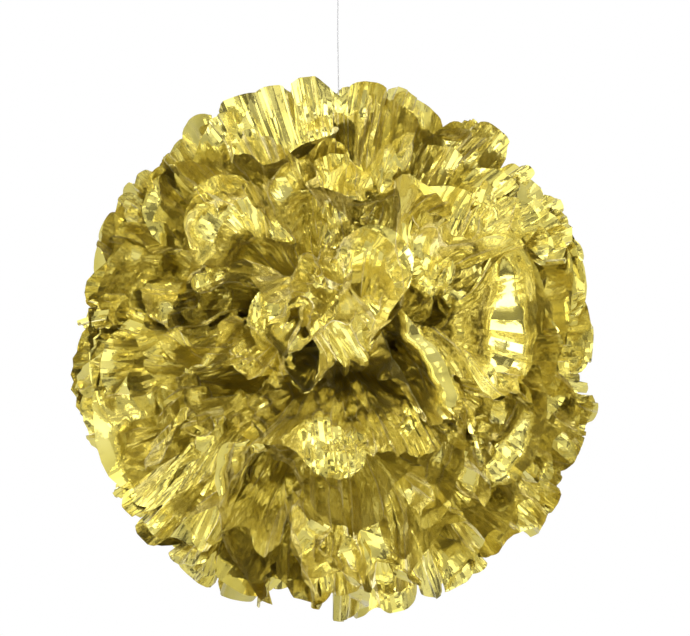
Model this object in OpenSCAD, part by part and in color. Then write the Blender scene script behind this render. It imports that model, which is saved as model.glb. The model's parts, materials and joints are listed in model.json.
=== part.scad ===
// Hanging foil puff ball: a stack of pleated metallised-film sheets, tied round the waist and
// fanned out on both sides of the tie, hung on a clear nylon line.
//
// Frame: origin at the tie, in the middle of the ball. +Z is up, along the line. The pleats run out
// of the tie towards -Y (front halves) and +Y (back halves), and fan out towards +X and -X.

/* [Ball] */
// Diameter of the fluffed ball
ball_d = 406; // [300:2:500]
// Foil sheets in the stack
sheets = 12; // [4:2:12]
// Pleats across each sheet
pleats = 18; // [8:2:20]
// Height of a pleat's fold above or below its sheet, as an angle seen from the tie
pleat_angle = 2.8; // [1:0.1:4]
// Tilt of the top and bottom sheets, away from the flat fan
top_tilt = 76; // [50:1:78]
// Thickness that stands for the film
film_t = 0.3; // [0.2:0.05:0.35]

/* [Tie] */
// Distance between neighbouring sheets where the tie clamps them
sheet_pitch = 1.2; // [1.1:0.1:1.6]
// Radius of the flat root of a half sheet, where its pleats begin
root_r = 7; // [5:0.5:10]
// Half distance between the hinge lines of a sheet's front and back halves
hinge_y = 1.5; // [1.4:0.1:3]
// Width of the clamped waist of a sheet
waist_w = 6; // [4:0.5:7]
// Radius of the tie wire
wire_r = 0.4; // [0.3:0.05:0.4]
// Turns of wire round the waist
wire_turns = 2; // [1:1:2]
// Length of the loose ends of the wire
wire_end_l = 16; // [10:1:25]

/* [Line] */
// Radius of the nylon line
line_r = 0.45; // [0.3:0.05:0.6]
// Radius of a knot in the line
knot_r = 1.6; // [1.3:0.1:2]
// Height of the upper knot above the top of the ball
line_rise = 90; // [70:5:150]
// Inside radius of the loop that goes over a hook
loop_r = 12; // [8:1:20]

/* [Hidden] */
$fn = 48;
ball_r = ball_d / 2;
stack_h = (sheets - 1) * sheet_pitch;
tilt_step = 2 * top_tilt / (sheets - 1);
// Clearance between pieces that turn against each other
gap = 0.2;
// How far a pleat runs past its fold lines, so that neighbours join into one solid
seam = film_t / 2;
stagger = 1;
// The folds next to a sheet's straight edge stand lower than the others
edge_lift = pleat_angle / 2;
waist_l = 2 * (hinge_y - film_t / 2 - gap);
// The wire just clears the corners of the stack of waists
ring_r = norm([waist_w, stack_h + film_t]) / 2 + wire_r + gap / 4;
// Neighbouring turns overlap a little, so that they are one solid
turn_pitch = 1.75 * wire_r;
wire_end_splay = 12;
elbow_r = 1.1 * wire_r;
// The line's lower knot sits on the wire, under an eye that it cannot pass through
lower_knot_z = ring_r + wire_r + gap + knot_r;
eye_z = lower_knot_z + knot_r + gap + wire_r;
eye_r = line_r + gap + wire_r;
riser_x = knot_r + gap + wire_r;
upper_knot_z = ball_r + line_rise;
// The loop's legs run from the upper knot, and touch the round part of the loop
loop_ring_r = loop_r + line_r;
loop_centre = 2.2 * loop_ring_r;
leg_angle = asin(loop_ring_r / loop_centre);
leg_l = loop_ring_r / tan(leg_angle);
// Bead that swallows the seam between a leg and the round part
joint_r = 1.1 * line_r;

film_colour = [0.80, 0.71, 0.25];
wire_colour = [0.72, 0.73, 0.75];
line_colour = [0.93, 0.93, 0.95];

function two_digits(i) = str(i < 10 ? "0" : "", i);
function half_name(i, side) = str("sheet_", two_digits(i), "_", side);
// Height of sheet i in the tie, and its tilt, both counted from the lowest sheet, which is 1
function sheet_z(i) = (i - (sheets + 1) / 2) * sheet_pitch;
function sheet_tilt(i) = (i - (sheets + 1) / 2) * tilt_step;

// Fold lines alternate above and below the sheet, and the first and last ones lie in it.
function fold_lift(j) =
    j == 0 || j == pleats ? 0
    : j == 1 || j == pleats - 1 ? -edge_lift
    : (j % 2 == 0 ? 1 : -1) * pleat_angle;
function fold_line(j) =
    let (turn = 180 * j / pleats, lift = fold_lift(j))
    [cos(turn) * cos(lift), sin(turn) * cos(lift), sin(lift)];
function unit(v) = v / norm(v);

// Flat tongue of one pleat, seen from the tie: it widens along +X and ends in a round lobe that
// touches both of its fold lines.
module tongue(half_angle, start, reach) {
    lobe_x = reach / (1 + sin(half_angle));
    toe = [cos(half_angle), sin(half_angle)];
    side = [for (l = [start, lobe_x * cos(half_angle)]) l * toe + seam * [-toe.y, toe.x]];
    linear_extrude(film_t, center = true) {
        polygon([side[0], side[1], [side[1].x, -side[1].y], [side[0].x, -side[0].y]]);
        translate([lobe_x, 0]) circle(lobe_x * sin(half_angle));
    }
}

// Pleat j lies in the plane of fold lines j and j + 1. Every second pleat is a little shorter at
// both ends, so that neighbouring corners don't coincide.
module pleat(j) {
    from = fold_line(j);
    to = fold_line(j + 1);
    along = unit(from + to);
    across = unit(to - from);
    up = cross(along, across);
    shorter = stagger * (j % 2);
    multmatrix([
        [along.x, across.x, up.x, 0],
        [along.y, across.y, up.y, 0],
        [along.z, across.z, up.z, 0],
        [0, 0, 0, 1]
    ])
        tongue(asin(norm(to - from) / 2), root_r * 0.7 + shorter, ball_r - shorter);
}

// Flat root that joins the pleats, from the hinge line in the tie.
module root_plate() {
    linear_extrude(film_t, center = true)
        intersection() {
            circle(root_r + seam);
            translate([-root_r, 0]) square(2 * root_r);
        }
}

// The back half of sheet i: all its pleats, tilted about its hinge line in the tie.
module back_half(i) {
    color(film_colour)
        translate([0, hinge_y, sheet_z(i)])
            rotate([sheet_tilt(i), 0, 0]) {
                root_plate();
                for (j = [0:pleats - 1]) pleat(j);
            }
}

module front_half(i) {
    mirror([0, 1, 0]) back_half(i);
}

// Where the sheets pass through the tie, they are pressed together.
module gathered_waists() {
    color(film_colour) {
        for (i = [1:sheets])
            translate([0, 0, sheet_z(i)]) cube([waist_w, waist_l, film_t], center = true);
        cube([waist_w - 2 * gap, waist_l / 2, stack_h], center = true);
    }
}

// Turns of wire round the waists, an eye above them for the line, and two loose ends below.
module tie_wire() {
    riser_z = sqrt(pow(ring_r, 2) - pow(riser_x, 2));
    color(wire_colour) {
        for (k = [0:wire_turns - 1])
            translate([0, (k - (wire_turns - 1) / 2) * turn_pitch, 0])
                rotate([90, 0, 0])
                    rotate_extrude() translate([ring_r, 0]) circle(wire_r);
        translate([0, 0, eye_z]) rotate_extrude() translate([eye_r, 0]) circle(wire_r);
        translate([riser_x, 0, riser_z]) cylinder(h = eye_z - riser_z, r = wire_r);
        translate([riser_x, 0, eye_z]) sphere(elbow_r);
        translate([eye_r, 0, eye_z]) rotate([0, 90, 0]) cylinder(h = riser_x - eye_r, r = wire_r);
        for (side = [-1, 1])
            translate([0, 0, -ring_r])
                rotate([0, 180 + side * wire_end_splay, 0]) cylinder(h = wire_end_l, r = wire_r);
    }
}

// Straight nylon line, with the knot that holds it in the eye.
module hanging_line() {
    top = upper_knot_z - knot_r - gap;
    color(line_colour) {
        translate([0, 0, lower_knot_z]) cylinder(h = top - lower_knot_z, r = line_r);
        translate([0, 0, lower_knot_z]) sphere(knot_r);
    }
}

// Knot under the loop.
module loop_knot() {
    color(line_colour) translate([0, 0, upper_knot_z]) sphere(knot_r);
}

// Loop of line that goes over a hook, drawn to a point at the upper knot.
module hanging_loop() {
    color(line_colour)
        translate([0, 0, upper_knot_z]) {
            translate([0, 0, loop_centre])
                rotate([90, leg_angle, 0])
                    rotate_extrude(angle = 180 + 2 * leg_angle)
                        translate([loop_ring_r, 0]) circle(line_r);
            for (side = [-1, 1])
                rotate([0, side * leg_angle, 0]) {
                    translate([0, 0, knot_r + gap]) cylinder(h = leg_l - knot_r - gap, r = line_r);
                    translate([0, 0, leg_l]) sphere(joint_r);
                }
        }
}

hanging_loop();
loop_knot();
hanging_line();
tie_wire();
gathered_waists();
for (i = [1:sheets]) {
    front_half(i);
    back_half(i);
}
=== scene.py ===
"""Hanging foil puff ball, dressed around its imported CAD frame.

Each half sheet of the frame gets one continuous crumpled film. A film starts as a pleated fan. Its
tongues are bent and leaned apart, and a small constraint solver pulls it back towards its own width
and length. Sharp creases are pressed in last. Nothing keeps one film from passing through another.
Lengths are in metres. The frame's +Z is up, and the ball's front faces -Y.
"""

import json
import math

import bpy
import numpy as np
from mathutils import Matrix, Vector


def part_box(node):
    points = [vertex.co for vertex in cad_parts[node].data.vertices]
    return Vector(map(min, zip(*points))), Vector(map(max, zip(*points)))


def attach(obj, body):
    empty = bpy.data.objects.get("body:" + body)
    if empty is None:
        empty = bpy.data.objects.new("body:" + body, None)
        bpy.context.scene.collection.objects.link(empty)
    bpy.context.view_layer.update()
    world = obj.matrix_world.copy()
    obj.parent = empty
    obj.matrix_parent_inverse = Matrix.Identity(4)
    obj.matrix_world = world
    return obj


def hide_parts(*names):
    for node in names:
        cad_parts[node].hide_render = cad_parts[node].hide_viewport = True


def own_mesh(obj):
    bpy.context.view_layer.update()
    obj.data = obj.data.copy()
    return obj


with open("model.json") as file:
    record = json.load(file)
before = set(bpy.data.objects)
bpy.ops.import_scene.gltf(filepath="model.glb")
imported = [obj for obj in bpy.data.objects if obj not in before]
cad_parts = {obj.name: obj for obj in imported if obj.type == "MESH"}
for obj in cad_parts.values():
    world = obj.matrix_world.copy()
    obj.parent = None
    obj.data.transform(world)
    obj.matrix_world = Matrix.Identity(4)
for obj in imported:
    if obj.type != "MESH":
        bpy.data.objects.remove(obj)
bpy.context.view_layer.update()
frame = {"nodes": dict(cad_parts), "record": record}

SEED = 19
RECORD = frame["record"]
JOINTS = {joint["name"]: joint for joint in RECORD["behaviour"]["joints"]}
FOLD = "fold_"
HALVES = sorted(joint["child"] for joint in JOINTS.values() if joint["name"].startswith(FOLD))

# The film: pleats, their width, its length from the hinge, and the ball that it fills
PLEATS = 18
PLEAT_W = 0.040
FILM_L = 0.206
BALL_R = 0.203
# How far from its hinge the film starts, and how far round the hinge it fans out
ROOT_V = 0.012
FAN_DEG = 160
# Mesh cells across one pleat and along the film
CELLS = 20
ROWS = 84
# Edges that bend by more than this stay sharp
SHARP_DEG = 22
# How far out a crease may stand, as a share of the ball's radius
BALL_SLACK = 1.02

# How the pleats of one fan differ: rise of the folds, turn of the whole fan and of each fold (in
# pleats), lean and length of each tongue, and bulge between two folds
PLEAT_RISE_DEG = (1.5, 4.0)
FAN_TURN = 0.5
FOLD_TURN = 0.2
TONGUE_LEAN_DEG = 11
TONGUE_LENGTH = (0.96, 1.01)
BULGE = (0.005, 0.012)
# Where along the film the lean and the bulge set in and are full, as shares of its length
LEAN_ZONE = (0.4, 1.0)
BULGE_ZONE = (0, 0.7)

# Bends across the tongues: their distance from the tip, and the share that is left out
BEND_REACHES = (0.085, 0.050)
BENDS_SKIPPED = 0.25
BEND_SPREAD = (0.7, 1.2)
BEND_SLANT = 0.4
BEND_SOFTNESS = 0.003
# A bend fades out between these distances from the middle of its tongue, in pleats
BEND_ZONE = (0.35, 0.62)
# Neighbouring tongues flop alike, by about FLOP_DEG. Tongues over the tie close it by CLOSING_DEG
# more. Each bend takes BEND_SHARE of the flop and strays by BEND_STRAY_DEG
FLOP_DEG = 18
FLOP_PLEATS = 3
CLOSING_DEG = (30, 60)
# Cosine of a tongue's direction off the front or back at which it starts and fully closes the tie
CLOSING_ZONE = (0.84, 0.99)
BEND_SHARE = 0.6
BEND_STRAY_DEG = 10

# Where the petals part: how many places, how wide (radians) and how far the petals lean
PARTINGS = 20
PARTING_R = 0.24
PARTING_LEAN = 0.06
PARTING_POWER = 1.5
PARTING_JITTER = 0.12
# Scales x * exp(-x * x / 2) to about 1 at its highest
LEAN_PEAK = 1.65
# Degrees across and up of the partings that face the front
FRONT_PARTINGS = [(-11, 22), (14, 10), (0, -12)]
# How clear of those the other partings stay, in PARTING_R
PARTING_CLEAR = 1.7

# Patches in which neighbouring petals lean the same way
SWIRL_WAVE_L = (0.16, 0.28)
SWIRL_REACH = 0.005
SWIRL_WAVES = 7
# Distances from the tie at which the lean sets in and is full
SWIRL_ZONE = (0.04, 0.2)

# Straight creases along the film: how far apart and how deep
FLUTES = [(0.031, 0.0020), (0.017, 0.0016), (0.0095, 0.0007)]
# How far flutes drift (in their own widths) and slant, and how much their depth varies
FLUTE_DRIFT = 0.6
FLUTE_SLANT = 0.04
FLUTE_SWELL = 0.5
FLUTE_ZONE = (0.02, 0.08)
# How deeply the hidden inner film is crumpled
CRUMPLE = 0.0025
CRUMPLE_WAVE_L = 0.05
# Where along the film the crumple fades out, as shares of its length
HIDDEN_ZONE = (0.6, 0.85)
# Crumpled points: their distance from the tip, the share left out, their radius, facets and slope
CONE_REACHES = (0.028, 0.050, 0.080, 0.115)
CONES_SKIPPED = 0.5
CONE_SPREAD = (0.8, 1.2)
CONE_R = (0.018, 0.035)
CONE_FACETS = 6
CONE_RIDGE_JITTER = 0.8
CONE_SLOPE = 0.34
# Where across a tongue the points may lie, and the share of the radius that stays fully raised
CONE_ACROSS = (0.25, 0.75)
CONE_CORE = 0.35

# Steps between linked points, in columns and rows, and how stiffly the links hold
STRETCH_LINKS = [((1, 0), 1.0), ((0, 1), 1.0), ((1, 1), 0.7), ((1, -1), 0.7)]
BEND_LINKS = [((2, 0), 0.03), ((0, 2), 0.3), ((0, 6), 0.2)]
RELAX_STEPS = 10
# How much wider the relaxed film is than the pleated fan it starts as
SLACK = 0.04
# Share of its length that a bend link may lose before it pushes back
BEND_FREE = 0.03
# Rows at the root that the solver leaves in place
FIXED_ROWS = 2
# How far the film stays off the hanging line
LINE_CLEAR = 0.004

# The line and its knots
CORD_R = 0.00045
CORD_SIDES = 10
LINE_KNOT_R = 0.0009
LINE_KNOT_H = 0.0028
LINE_KNOT_TURNS = 3
# How far the line strays from straight, and how fast it waves left-right and front-back
LINE_STRAY = 0.0004
LINE_WAVES = (70, 53)
LINE_POINTS = 119
LOOP_KNOT_SIZE = 0.0004
LOOP_KNOT_DEPTH = 1.6
# The gathered waists: folds round them, their depth, and how far they reach and flare
WAIST_FOLDS = 24
WAIST_FOLD_DEPTH = 0.1
WAIST_REACH = 0.007
WAIST_NARROW = 0.92
WAIST_FLARE = 0.35
# Stripes run along the film: how much less the stripe pattern changes along it than across it
STRIPE_DRIFT = 0.3


def smoothstep(low, high, x):
    t = np.clip((x - low) / (high - low), 0, 1)
    return t * t * (3 - 2 * t)


# ---------------------------------------------------------------- film shape

def flat_film(cells, rows):
    """Column and row coordinates of a flat half sheet whose pleats end in round lobes."""
    even = np.linspace(0, 1, cells + 1)
    across = 0.5 * even + 0.25 * (1 - np.cos(np.pi * even))
    column = np.concatenate([j + across[:-1] for j in range(PLEATS)] + [[PLEATS]])
    lobe_r = PLEAT_W / 2
    off_centre = (column % 1 - 0.5) * PLEAT_W
    tip = FILM_L - lobe_r + np.sqrt(np.maximum(lobe_r**2 - off_centre**2, 0))
    down = np.linspace(0, 1, rows + 1)
    v = ROOT_V + (tip[:, None] - ROOT_V) * down[None, :]
    u = np.broadcast_to((column[:, None] - PLEATS / 2) * PLEAT_W, v.shape)
    return u, v


def columns_near(u, pleat):
    """The columns of one pleat and of its two neighbours."""
    return slice(max(0, (pleat - 1) * CELLS), min(u.shape[0], (pleat + 2) * CELLS + 1))


def wave_noise(rng, u, v, wave_l, count):
    """Smooth random vector field over the film, about one unit in size."""
    total = np.zeros((3,) + u.shape)
    for _ in range(count):
        heading = rng.uniform(0, 2 * np.pi)
        k = 2 * np.pi / (wave_l * rng.uniform(0.7, 1.5))
        phase = rng.uniform(0, 2 * np.pi)
        wave = np.sin(k * (u * math.cos(heading) + v * math.sin(heading)) + phase)
        total += rng.normal(size=3)[:, None, None] * wave
    return total / math.sqrt(count)


def page_frame(half):
    """Hinge point, side (-1 front, +1 back) and tilt of a half sheet at rest."""
    joint = JOINTS[FOLD + half[6:]]
    side = 1 if half.endswith("back") else -1
    full = max(joint["range_deg"], key=abs)
    return joint["pos_m"], side, math.radians(-side * full)


def pleated_fan(rng, u, v):
    """The film as an irregular pleated fan that lies about its page plane, z = 0, and opens to +Y."""
    pleat = u / PLEAT_W + PLEATS / 2
    fold = np.arange(PLEATS + 1)
    rise = np.radians(rng.uniform(*PLEAT_RISE_DEG, PLEATS + 1)) * np.where(fold % 2 == 0, 1, -1)
    swing = rng.uniform(-FAN_TURN, FAN_TURN) + rng.normal(0, FOLD_TURN, PLEATS + 1)
    lean = np.radians(rng.normal(0, TONGUE_LEAN_DEG, PLEATS + 1))
    length = rng.uniform(*TONGUE_LENGTH, PLEATS + 1)
    outer = smoothstep(*LEAN_ZONE, v / FILM_L)
    lift = np.interp(pleat, fold, rise) + np.interp(pleat, fold, lean) * outer
    turn = np.interp(pleat, fold, fold + swing) / PLEATS
    azimuth = math.pi / 2 + np.radians(FAN_DEG) * (turn - 0.5)
    radius = v * BALL_R / FILM_L * np.interp(pleat, fold, length)
    bulge = rng.uniform(*BULGE, PLEATS) * rng.choice([-1, 1], PLEATS)
    bulge = bulge[np.minimum(pleat, PLEATS - 1e-6).astype(int)]
    arch = 4 * (pleat % 1) * (1 - pleat % 1) * bulge * smoothstep(*BULGE_ZONE, v / FILM_L)
    return np.stack([
        radius * np.cos(azimuth) * np.cos(lift),
        radius * np.sin(azimuth) * np.cos(lift),
        radius * np.sin(lift) + arch,
    ])


def rotate_about(points, centre, axis, angle):
    """Turns each point about a line by its own angle."""
    axis = axis / np.linalg.norm(axis)
    arm = points - centre[:, None, None]
    along = np.tensordot(axis, arm, 1)
    across = np.cross(axis[:, None, None], arm, axis=0)
    cos, sin = np.cos(angle), np.sin(angle)
    turned = arm * cos + across * sin + axis[:, None, None] * along * (1 - cos)
    return centre[:, None, None] + turned


def closing(tilt):
    """How far each tongue of a page lies over the tie, seen from the front or the back: 0 to 1."""
    azimuth = math.radians(FAN_DEG) * ((np.arange(PLEATS) + 0.5) / PLEATS - 0.5)
    return smoothstep(*CLOSING_ZONE, math.cos(tilt) * np.cos(azimuth))


def bend_tongues(rng, points, u, v, tilt):
    """Folds the free end of each tongue along straight creases, most over the tie."""
    knots = np.arange(0, PLEATS + FLOP_PLEATS, FLOP_PLEATS)
    flop_deg = FLOP_DEG * np.interp(np.arange(PLEATS), knots, rng.normal(size=len(knots)))
    flop_deg += closing(tilt) * rng.choice([-1, 1], PLEATS) * rng.uniform(*CLOSING_DEG, PLEATS)
    for pleat in range(PLEATS):
        middle = (pleat + 0.5 - PLEATS / 2) * PLEAT_W
        columns = columns_near(u, pleat)
        for reach in BEND_REACHES:
            if rng.random() < BENDS_SKIPPED:
                continue
            heading = rng.normal(0, BEND_SLANT)
            crease_v = FILM_L - reach * rng.uniform(*BEND_SPREAD)
            column = pleat * CELLS + CELLS // 2
            row = int(np.argmin(np.abs(v[column] - crease_v)))
            centre = points[:, column, row].copy()
            across = points[:, column + 2, row] - points[:, column - 2, row]
            down = points[:, column, row + 1] - points[:, column, row - 1]
            axis = across / np.linalg.norm(across) * math.cos(heading)
            axis = axis - down / np.linalg.norm(down) * math.sin(heading)
            off_u, off_v = u[columns] - middle, v[columns] - crease_v
            away = off_v * math.cos(heading) + off_u * math.sin(heading)
            near = 1 - smoothstep(*BEND_ZONE, np.abs(off_u) / PLEAT_W)
            bend = math.radians(rng.normal(BEND_SHARE * flop_deg[pleat], BEND_STRAY_DEG))
            angle = bend * smoothstep(0, BEND_SOFTNESS, away) * near
            points[:, columns] = rotate_about(points[:, columns], centre, axis, angle)


def place_page(half, local):
    """Moves a page from its own plane to its rest place in the ball."""
    hinge, side, tilt = page_frame(half)
    x, y, z = local
    return np.stack([
        hinge[0] + x,
        hinge[1] + side * (y * math.cos(tilt) - z * math.sin(tilt)),
        hinge[2] + y * math.sin(tilt) + z * math.cos(tilt),
    ])


def partings(rng):
    """Directions the petals lean away from: three seen from the front, the rest spread over the ball."""
    turns = np.arange(PARTINGS) + 0.5
    height = 1 - 2 * turns / PARTINGS
    azimuth = np.pi * (1 + 5**0.5) * turns
    level = np.sqrt(1 - height**2)
    spread_out = np.stack([level * np.cos(azimuth), level * np.sin(azimuth), height], axis=1)
    spread_out += rng.normal(0, PARTING_JITTER, spread_out.shape)
    spread_out /= np.linalg.norm(spread_out, axis=1)[:, None]
    front = []
    for across_deg, up_deg in FRONT_PARTINGS:
        across, up = math.radians(across_deg), math.radians(up_deg)
        front.append((math.sin(across) * math.cos(up), -math.cos(across) * math.cos(up), math.sin(up)))
    clear = (spread_out @ np.array(front).T).max(1) < math.cos(PARTING_CLEAR * PARTING_R)
    return np.concatenate([np.array(front), spread_out[clear]])


def part(rng, points):
    """Leans the petals away from each parting, most at their tips."""
    radius = np.maximum(np.sqrt((points**2).sum(0)), 1e-6)
    way = points / radius
    total = np.zeros_like(points)
    for centre in partings(rng):
        cosine = np.tensordot(centre, way, 1)
        angle = np.arccos(np.clip(cosine, -1, 1))
        away = way * cosine - centre[:, None, None, None]
        away /= np.maximum(np.sqrt((away**2).sum(0)), 1e-6)
        near = angle / PARTING_R
        lean = PARTING_LEAN * rng.uniform(0.8, 1.2) * LEAN_PEAK
        total += lean * near * np.exp(-near**2 / 2) * away
    moved = way + total * (radius / BALL_R) ** PARTING_POWER
    return moved * radius / np.sqrt((moved**2).sum(0))


def swirl(rng, points):
    """Leans neighbouring petals the same way, in patches, and keeps their distance from the tie."""
    radius = np.sqrt((points**2).sum(0))
    push = np.zeros_like(points)
    for _ in range(SWIRL_WAVES):
        heading = rng.normal(size=3)
        heading *= 2 * np.pi / rng.uniform(*SWIRL_WAVE_L) / np.linalg.norm(heading)
        wave = np.sin(np.tensordot(heading, points, 1) + rng.uniform(0, 2 * np.pi))
        push += rng.normal(size=3)[:, None, None, None] * wave
    push *= SWIRL_REACH / math.sqrt(SWIRL_WAVES) * smoothstep(*SWIRL_ZONE, radius)
    moved = points + push
    return moved * radius / np.maximum(np.sqrt((moved**2).sum(0)), 1e-6)


def triangle_wave(x):
    """Rises and falls in straight lines between -1 and 1, once for each step of 1."""
    return 2 * np.abs(2 * (x - np.floor(x + 0.5))) - 1


def normals(points):
    """The direction that each point of the films faces."""
    along = np.gradient(points, axis=2)
    down = np.gradient(points, axis=3)
    normal = np.cross(along, down, axis=0)
    return normal / np.maximum(np.sqrt((normal**2).sum(0)), 1e-12)


def flutes(rng, u, v):
    """Straight creases along the film, as heights over it."""
    height = np.zeros_like(u)
    for wave_l, size in FLUTES:
        drift = wave_noise(rng, u, np.zeros_like(v), 0.09, 4)[0]
        slant = rng.normal(0, FLUTE_SLANT) * v
        swell = 1 + FLUTE_SWELL * np.clip(wave_noise(rng, u, v, 0.15, 4)[0], -1, 1)
        height += swell * size * triangle_wave((u + slant) / wave_l + FLUTE_DRIFT * drift)
    hidden = 1 - smoothstep(*HIDDEN_ZONE, v / FILM_L)
    crumple = CRUMPLE * wave_noise(rng, u, v, CRUMPLE_WAVE_L, 8)[0] * hidden
    return (height + crumple) * smoothstep(*FLUTE_ZONE, v)


def cones(rng, u, v):
    """Crumpled points with flat facets round them, as heights over the film."""
    height = np.zeros_like(u)
    for pleat in range(PLEATS):
        for reach in CONE_REACHES:
            if rng.random() < CONES_SKIPPED:
                continue
            size = rng.uniform(*CONE_R)
            point_u = (pleat + rng.uniform(*CONE_ACROSS) - PLEATS / 2) * PLEAT_W
            point_v = FILM_L - reach * rng.uniform(*CONE_SPREAD)
            columns = columns_near(u, pleat)
            off_u, off_v = u[columns] - point_u, v[columns] - point_v
            radius = np.sqrt(off_u**2 + off_v**2)
            facet = np.arange(CONE_FACETS)
            ridges = rng.uniform(0, CONE_RIDGE_JITTER, CONE_FACETS) + facet * 2 * np.pi / CONE_FACETS
            slopes = rng.normal(0, CONE_SLOPE, CONE_FACETS)
            ridges = np.append(ridges, ridges[0] + 2 * np.pi)
            slopes = np.append(slopes, slopes[0])
            turn = (np.arctan2(off_v, off_u) - ridges[0]) % (2 * np.pi) + ridges[0]
            sector = np.clip(np.searchsorted(ridges, turn, side="right") - 1, 0, CONE_FACETS - 1)
            low, high = ridges[sector], ridges[sector + 1]
            rise = slopes[sector] * np.sin(high - turn) + slopes[sector + 1] * np.sin(turn - low)
            rise = radius * rise / np.sin(high - low)
            height[columns] += rise * (1 - smoothstep(CONE_CORE * size, size, radius))
    return height


# ---------------------------------------------------------------- constraint solver

def links(fans):
    """Groups of links between film points. No point has two links of one group."""
    groups = []
    for step, stiff in STRETCH_LINKS + BEND_LINKS:
        slack = 1 + SLACK * step[0] / (step[0] + abs(step[1]))
        groups += [make_link(fans, step, start, stiff, slack) for start in range(2 * max(step))]
    return groups


def make_link(fans, step, start, stiff, slack):
    """Links from every second run of points to the points one step on."""
    axis = 0 if step[0] > 0 else 1
    reach = step[axis]
    first = [slice(None), slice(None)]
    second = [slice(None), slice(None)]
    count = len(range(start, fans.shape[axis + 2] - reach, 2 * reach))
    last = start + (count - 1) * 2 * reach + 1
    first[axis] = slice(start, last, 2 * reach)
    second[axis] = slice(start + reach, last + reach, 2 * reach)
    if axis == 0 and step[1] > 0:
        first[1], second[1] = slice(None, -step[1]), slice(step[1], None)
    elif axis == 0 and step[1] < 0:
        first[1], second[1] = slice(-step[1], None), slice(None, step[1])
    every = (slice(None), slice(None))
    gap = fans[every + tuple(second)] - fans[every + tuple(first)]
    rest = (slack * np.sqrt((gap**2).sum(0))).astype(np.float32)
    return tuple(first), tuple(second), rest, stiff, reach > 1


def pull_links(points, groups):
    """Moves linked points towards their rest distance. Bend links only push."""
    every = (slice(None), slice(None))
    for first, second, rest, stiff, bends in groups:
        a = points[every + first]
        b = points[every + second]
        gap = b - a
        length = np.sqrt((gap * gap).sum(0)) + 1e-9
        error = length - rest
        if bends:
            error = np.minimum(error + BEND_FREE * rest, 0)
        gap *= 0.5 * stiff * error / length
        a += gap
        b -= gap


def keep_in_ball(points, limit):
    """Brings points that stand out of the ball back to its surface."""
    radius = np.sqrt((points * points).sum(0))
    points *= np.minimum(limit / np.maximum(radius, 1e-6), 1)


def clear_line(points):
    """Keeps the film off the hanging line above the tie, and off the wire's ends below it."""
    off_axis = np.sqrt(points[0] ** 2 + points[1] ** 2) + 1e-9
    grow = np.maximum(LINE_CLEAR / off_axis, 1)
    points[0] *= grow
    points[1] *= grow


def relax(points, fans):
    """Pulls the films back towards the width and length of their fans, with their roots held."""
    groups = links(fans)
    roots = points[:, :, :, :FIXED_ROWS].copy()
    for _ in range(RELAX_STEPS):
        pull_links(points, groups)
        clear_line(points)
        points[:, :, :, :FIXED_ROWS] = roots


def film_points():
    """The points of all films, and the pattern coordinates that they share."""
    rng = np.random.default_rng(SEED)
    u, v = flat_film(CELLS, ROWS)
    fans, pages = [], []
    for half in HALVES:
        fan = pleated_fan(rng, u, v)
        fans.append(fan)
        page = fan.copy()
        bend_tongues(rng, page, u, v, page_frame(half)[2])
        pages.append(place_page(half, page))
    points = part(rng, swirl(rng, np.stack(pages, axis=1)))
    creases = np.stack([flutes(rng, u, v) + cones(rng, u, v) for half in HALVES])
    points = points.astype(np.float32)
    relax(points, np.stack(fans, axis=1))
    points += normals(points) * creases
    keep_in_ball(points, BALL_R * BALL_SLACK)
    return points, np.stack([u / PLEAT_W, STRIPE_DRIFT * v / FILM_L])


# ---------------------------------------------------------------- meshes

def grid_mesh(name, points, wrap=(False, False), uv=None):
    """A mesh from a grid of points. Wrap joins the last column or row to the first."""
    nu, nv = points.shape[1:]
    corner = np.arange(nu * nv).reshape(nu, nv)
    for axis in (0, 1):
        if wrap[axis]:
            corner = np.concatenate([corner, corner.take([0], axis)], axis)
    quads = np.stack([corner[:-1, :-1], corner[1:, :-1], corner[1:, 1:], corner[:-1, 1:]], axis=-1)
    mesh = bpy.data.meshes.new(name)
    mesh.vertices.add(nu * nv)
    mesh.vertices.foreach_set("co", points.reshape(3, -1).T.ravel())
    mesh.loops.add(quads.size)
    mesh.loops.foreach_set("vertex_index", quads.ravel())
    mesh.polygons.add(quads.size // 4)
    mesh.polygons.foreach_set("loop_start", np.arange(0, quads.size, 4))
    mesh.polygons.foreach_set("loop_total", np.full(quads.size // 4, 4))
    mesh.polygons.foreach_set("use_smooth", np.ones(quads.size // 4, bool))
    mesh.update(calc_edges=True)
    mesh.validate()
    mesh.set_sharp_from_angle(angle=math.radians(SHARP_DEG))
    if uv is not None:
        layer = mesh.uv_layers.new(name="film")
        layer.uv.foreach_set("vector", uv.reshape(2, -1).T[quads.ravel()].ravel())
    return mesh


def add_piece(mesh, material, node, body):
    """Shows a mesh in place of a CAD node, moving with a CAD body."""
    piece = bpy.data.objects.new(mesh.name, mesh)
    bpy.context.collection.objects.link(piece)
    mesh.materials.append(material)
    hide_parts(node)
    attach(piece, body)
    return piece


def film_piece(half, points, uv, material):
    """One film, which moves with its page's body as the ball is folded."""
    mesh = grid_mesh("film_" + half[6:], points, uv=uv)
    piece = add_piece(mesh, material, half, half)
    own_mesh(piece)


# ---------------------------------------------------------------- line and tie

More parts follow.
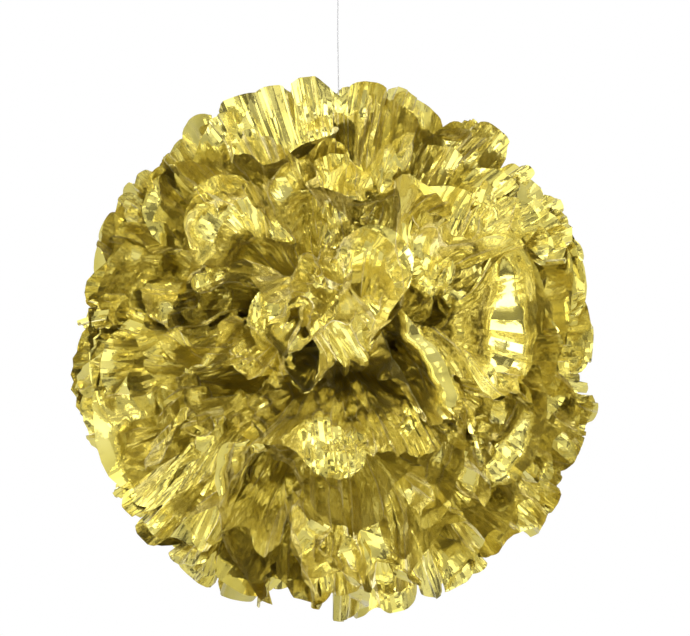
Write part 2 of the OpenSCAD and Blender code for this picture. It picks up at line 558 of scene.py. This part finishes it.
def tube_mesh(name, path, radius, closed=False):
    """A round cord along a path of points."""
    along = np.gradient(path, axis=0)
    if closed:
        along = np.roll(path, -1, 0) - np.roll(path, 1, 0)
    along /= np.linalg.norm(along, axis=1)[:, None]
    side = np.cross(along[0], (0.3, 0.9, 0.2))
    rings = []
    for point, forward in zip(path, along):
        side = side - forward * (side @ forward)
        side /= np.linalg.norm(side)
        turn = np.linspace(0, 2 * np.pi, CORD_SIDES, endpoint=False)[:, None]
        ring = point + radius * (np.cos(turn) * side + np.sin(turn) * np.cross(forward, side))
        rings.append(ring)
    return grid_mesh(name, np.array(rings).transpose(2, 1, 0), wrap=(True, closed))


def line_path(low, high):
    """A few turns of knot at the tie, then the line up to the loop."""
    turn = np.linspace(0, LINE_KNOT_TURNS, 60)
    knot_r = LINE_KNOT_R * (1 - smoothstep(0.8 * LINE_KNOT_TURNS, LINE_KNOT_TURNS, turn))
    knot_z = low + CORD_R + LINE_KNOT_H * turn / LINE_KNOT_TURNS
    knot = np.stack([knot_r * np.cos(2 * np.pi * turn), knot_r * np.sin(2 * np.pi * turn), knot_z], axis=1)
    climb = np.linspace(knot[-1, 2], high, LINE_POINTS + 1)[1:]
    stray = LINE_STRAY * np.sin(np.linspace(0, np.pi, LINE_POINTS))
    wave_x, wave_y = LINE_WAVES
    rise = np.stack([stray * np.sin(wave_x * climb), stray * np.cos(wave_y * climb), climb], axis=1)
    return np.concatenate([knot, rise])


def overhand_path(centre, size):
    """A closed three-lobed knot curve."""
    t = np.linspace(0, 2 * np.pi, 90, endpoint=False)
    x = np.sin(t) + 2 * np.sin(2 * t)
    y = np.cos(t) - 2 * np.cos(2 * t)
    z = -LOOP_KNOT_DEPTH * np.sin(3 * t)
    return np.array(centre) + size * np.stack([x, y, z], axis=1)


def teardrop_path(bottom, top, half_width):
    """A closed hanging loop, pointed where it leaves its knot."""
    t = np.linspace(0, 2 * np.pi, 120, endpoint=False)
    swell = np.sin(t) * np.sin(t / 2) ** 1.5
    x = half_width * swell / swell.max()
    return np.stack([x, np.zeros_like(t), bottom + (top - bottom) * (1 - np.cos(t)) / 2], axis=1)


def waist_mesh(low, high):
    """The sheets' gathered waists: folds squeezed by the tie, flaring to both sides."""
    turn = np.linspace(0, 2 * np.pi, WAIST_FOLDS * 8, endpoint=False)[:, None]
    across = np.linspace(-1, 1, 17)[None, :]
    half = (high - low) / 2
    flare = WAIST_NARROW + WAIST_FLARE * across**2
    fold = 1 + WAIST_FOLD_DEPTH * triangle_wave(WAIST_FOLDS * turn / (2 * np.pi)) * (0.4 + across**2)
    x = half.x * flare * fold * np.cos(turn)
    z = half.z * flare * fold * np.sin(turn)
    y = np.broadcast_to(WAIST_REACH * across, x.shape)
    return grid_mesh("gathered_film", np.stack([x, y, z]), wrap=(True, False))


def add_cords(nylon):
    """The line, its upper knot and its loop, each in the box of its CAD node."""
    low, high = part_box("hanging_line")
    line = tube_mesh("line_cord", line_path(low.z, high.z), CORD_R)
    add_piece(line, nylon, "hanging_line", "line")
    low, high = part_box("loop_knot")
    knot = tube_mesh("knot_cord", overhand_path((low + high) / 2, LOOP_KNOT_SIZE), CORD_R, closed=True)
    add_piece(knot, nylon, "loop_knot", "knot")
    low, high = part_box("hanging_loop")
    loop = teardrop_path(low.z + CORD_R, high.z - CORD_R, high.x - CORD_R)
    add_piece(tube_mesh("loop_cord", loop, CORD_R, closed=True), nylon, "hanging_loop", "loop")


# ---------------------------------------------------------------- materials

GOLD_STOPS = [(0.35, (0.75, 0.645, 0.14, 1)), (0.7, (0.85, 0.755, 0.23, 1))]
# Paler gold that the film shows only in its reflections in film: painted light that lifts the shade deep
# in the folds
PALE_GOLD_PAINTED_IN_REFLECTIONS = (0.95, 0.91, 0.70, 1)
GOLD_SCALE = 30
MIRROR_ROUGHNESS = 0.06
HAZE_ROUGHNESS = 0.38
HAZE_SHARE = 0.25
COAT_WEIGHT = 0.2
COAT_ROUGHNESS = 0.03
# Fine straight stripes, and finer crinkles on top of them
STRIPE_SCALE = 1.9
STRIPE_BEND = 5
STRIPE_DEPTH = 0.0005
CRINKLE_SCALE = 260
CRINKLE_DEPTH = 0.0006
CRINKLE_SHARE = 0.2


def new_material(name):
    """A node material: its nodes, their links and its main shader."""
    material = bpy.data.materials.new(name)
    material.use_nodes = True
    nodes = material.node_tree.nodes
    return material, nodes, material.node_tree.links, nodes["Principled BSDF"]


def fill_ramp(ramp, stops):
    """Sets the stops of a new colour ramp, which has two to begin with."""
    elements = ramp.color_ramp.elements
    for index, (position, colour) in enumerate(stops):
        stop = elements[index] if index < 2 else elements.new(position)
        stop.position = position
        stop.color = colour


def gold_colour(nodes, wires, place):
    """Gold that varies over the film, with a paler gold painted into the film's reflections in film to
    lift their shade.
    """
    tint = nodes.new("ShaderNodeTexNoise")
    tint.inputs["Scale"].default_value = GOLD_SCALE
    tint.inputs["Detail"].default_value = 3
    wires.new(place.outputs["Object"], tint.inputs["Vector"])
    gold = nodes.new("ShaderNodeValToRGB")
    fill_ramp(gold, GOLD_STOPS)
    wires.new(tint.outputs["Fac"], gold.inputs["Fac"])
    # Film seen in film takes a paler gold. This is painted light that lifts the shade deep in the folds,
    # where gold on gold reflections would turn orange.
    seen = nodes.new("ShaderNodeLightPath")
    mix = nodes.new("ShaderNodeMix")
    mix.data_type = "RGBA"
    wires.new(seen.outputs["Is Camera Ray"], mix.inputs["Factor"])
    mix.inputs["A"].default_value = PALE_GOLD_PAINTED_IN_REFLECTIONS
    wires.new(gold.outputs["Color"], mix.inputs["B"])
    return mix.outputs["Result"]


def film_bump(nodes, wires, place):
    """Stripes pressed along the film, with small crinkles over them."""
    film = nodes.new("ShaderNodeUVMap")
    film.uv_map = "film"
    stripes = nodes.new("ShaderNodeTexWave")
    stripes.wave_profile = "TRI"
    stripes.inputs["Scale"].default_value = STRIPE_SCALE
    stripes.inputs["Distortion"].default_value = STRIPE_BEND
    stripes.inputs["Detail"].default_value = 1
    wires.new(film.outputs["UV"], stripes.inputs["Vector"])
    pressed = nodes.new("ShaderNodeBump")
    pressed.inputs["Strength"].default_value = 1
    pressed.inputs["Distance"].default_value = STRIPE_DEPTH
    wires.new(stripes.outputs["Fac"], pressed.inputs["Height"])
    crinkle = nodes.new("ShaderNodeTexNoise")
    crinkle.inputs["Scale"].default_value = CRINKLE_SCALE
    crinkle.inputs["Detail"].default_value = 2
    wires.new(place.outputs["Object"], crinkle.inputs["Vector"])
    bump = nodes.new("ShaderNodeBump")
    bump.inputs["Strength"].default_value = CRINKLE_SHARE
    bump.inputs["Distance"].default_value = CRINKLE_DEPTH
    wires.new(crinkle.outputs["Fac"], bump.inputs["Height"])
    wires.new(pressed.outputs["Normal"], bump.inputs["Normal"])
    return bump.outputs["Normal"]


def foil_material():
    """Mirror film over a hazy layer, which shades each petal by the way it faces."""
    material, nodes, wires, mirror = new_material("gold_foil")
    place = nodes.new("ShaderNodeTexCoord")
    gold = gold_colour(nodes, wires, place)
    wires.new(gold, mirror.inputs["Base Color"])
    mirror.inputs["Metallic"].default_value = 1
    mirror.inputs["Roughness"].default_value = MIRROR_ROUGHNESS
    mirror.inputs["Coat Weight"].default_value = COAT_WEIGHT
    mirror.inputs["Coat Roughness"].default_value = COAT_ROUGHNESS
    wires.new(film_bump(nodes, wires, place), mirror.inputs["Normal"])
    hazy = nodes.new("ShaderNodeBsdfPrincipled")
    wires.new(gold, hazy.inputs["Base Color"])
    hazy.inputs["Metallic"].default_value = 1
    hazy.inputs["Roughness"].default_value = HAZE_ROUGHNESS
    layers = nodes.new("ShaderNodeMixShader")
    layers.inputs["Fac"].default_value = HAZE_SHARE
    wires.new(mirror.outputs["BSDF"], layers.inputs[1])
    wires.new(hazy.outputs["BSDF"], layers.inputs[2])
    wires.new(layers.outputs["Shader"], nodes["Material Output"].inputs["Surface"])
    return material


def nylon_material():
    material, _, _, shader = new_material("nylon_line")
    shader.inputs["Base Color"].default_value = (0.9, 0.9, 0.92, 1)
    shader.inputs["Roughness"].default_value = 0.15
    shader.inputs["Transmission Weight"].default_value = 0.7
    return material


def wire_material():
    material, _, _, shader = new_material("tie_wire_metal")
    shader.inputs["Base Color"].default_value = (0.75, 0.76, 0.78, 1)
    shader.inputs["Metallic"].default_value = 1
    shader.inputs["Roughness"].default_value = 0.3
    return material


def floor_material():
    material, _, _, shader = new_material("floor_white")
    shader.inputs["Base Color"].default_value = (0.9, 0.9, 0.9, 1)
    shader.inputs["Roughness"].default_value = 0.9
    return material


# ---------------------------------------------------------------- studio

BALL_CENTRE = Vector((0, 0, 0))
CAMERA_DISTANCE = 2.2
# The camera looks past the ball's centre, which is left of and below the middle of the picture
CAMERA_SIDE = 0.0053
CAMERA_UP = 0.0228
SENSOR_W = 36
PIXELS_PER_METRE = 1315
IMAGE_W = 690
FLOOR_HALF = 8.0
FLOOR_Z = -1.2
MAX_BOUNCES = 20
# The studio's grey levels: dark gaps between its white panels give the foil its dark stripes
STUDIO_SCALE = 3.0
STUDIO_STOPS = [
    (0.41, (0.09, 0.085, 0.08, 1)),
    (0.43, (0.6, 0.6, 0.6, 1)),
    (0.54, (0.65, 0.65, 0.65, 1)),
    (0.56, (1.0, 1.0, 1.0, 1)),
]
# Name, place, width and height, and watts
SOFTBOXES = [
    ("key", (-1.2, -1.6, 1.4), (1.2, 1.2), 19),
    ("fill", (1.6, -1.2, 0.6), (1.0, 1.6), 12),
    ("top", (0.0, 0.2, 1.8), (1.6, 1.6), 12),
    ("front", (-0.3, -2.6, 0.9), (1.4, 1.2), 6),
    ("low", (0.3, -1.3, -0.7), (1.6, 0.8), 5),
]


def set_camera():
    camera = bpy.data.cameras.new("camera")
    camera.sensor_width = SENSOR_W
    camera.lens = PIXELS_PER_METRE * SENSOR_W * CAMERA_DISTANCE / IMAGE_W
    rig = bpy.data.objects.new("camera", camera)
    bpy.context.collection.objects.link(rig)
    rig.location = (CAMERA_SIDE, -CAMERA_DISTANCE, CAMERA_UP)
    rig.rotation_euler = (math.pi / 2, 0, 0)
    bpy.context.scene.camera = rig


def softbox(name, place, size, power):
    """A rectangular lamp that faces the ball."""
    light = bpy.data.lights.new(name, "AREA")
    light.shape = "RECTANGLE"
    light.size, light.size_y = size
    light.energy = power
    lamp = bpy.data.objects.new(name, light)
    bpy.context.collection.objects.link(lamp)
    lamp.location = place
    lamp.rotation_euler = (BALL_CENTRE - Vector(place)).to_track_quat("-Z", "Y").to_euler()


def set_world():
    """A studio that the foil reflects, seen by the camera as plain white."""
    world = bpy.data.worlds.new("studio")
    bpy.context.scene.world = world
    world.use_nodes = True
    nodes, wires = world.node_tree.nodes, world.node_tree.links
    place = nodes.new("ShaderNodeTexCoord")
    panels = nodes.new("ShaderNodeTexNoise")
    panels.inputs["Scale"].default_value = STUDIO_SCALE
    panels.inputs["Detail"].default_value = 0
    wires.new(place.outputs["Generated"], panels.inputs["Vector"])
    ramp = nodes.new("ShaderNodeValToRGB")
    fill_ramp(ramp, STUDIO_STOPS)
    wires.new(panels.outputs["Fac"], ramp.inputs["Fac"])
    seen = nodes.new("ShaderNodeLightPath")
    mix = nodes.new("ShaderNodeMix")
    mix.data_type = "RGBA"
    wires.new(seen.outputs["Is Camera Ray"], mix.inputs["Factor"])
    wires.new(ramp.outputs["Color"], mix.inputs["A"])
    mix.inputs["B"].default_value = (1, 1, 1, 1)
    background = nodes["Background"]
    wires.new(mix.outputs["Result"], background.inputs["Color"])
    background.inputs["Strength"].default_value = 1.0


def set_floor():
    mesh = bpy.data.meshes.new("floor")
    corners = [(x * FLOOR_HALF, y * FLOOR_HALF, FLOOR_Z) for x, y in ((-1, -1), (1, -1), (1, 1), (-1, 1))]
    mesh.from_pydata(corners, [], [(0, 1, 2, 3)])
    floor = bpy.data.objects.new("floor", mesh)
    bpy.context.collection.objects.link(floor)
    floor.data.materials.append(floor_material())


# ---------------------------------------------------------------- the scene

foil = foil_material()
all_points, film_uv = film_points()
for index, half in enumerate(HALVES):
    film_piece(half, all_points[:, index], film_uv + index, foil)
add_piece(waist_mesh(*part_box("gathered_waists")), foil, "gathered_waists", "hub")
add_cords(nylon_material())
tie = frame["nodes"]["tie_wire"]
tie.data.materials.clear()
tie.data.materials.append(wire_material())

scene = bpy.context.scene
scene.view_settings.view_transform = "Standard"
scene.cycles.max_bounces = MAX_BOUNCES
scene.cycles.glossy_bounces = MAX_BOUNCES
set_floor()
set_world()
for name, place, size, power in SOFTBOXES:
    softbox(name, place, size, power)
set_camera()
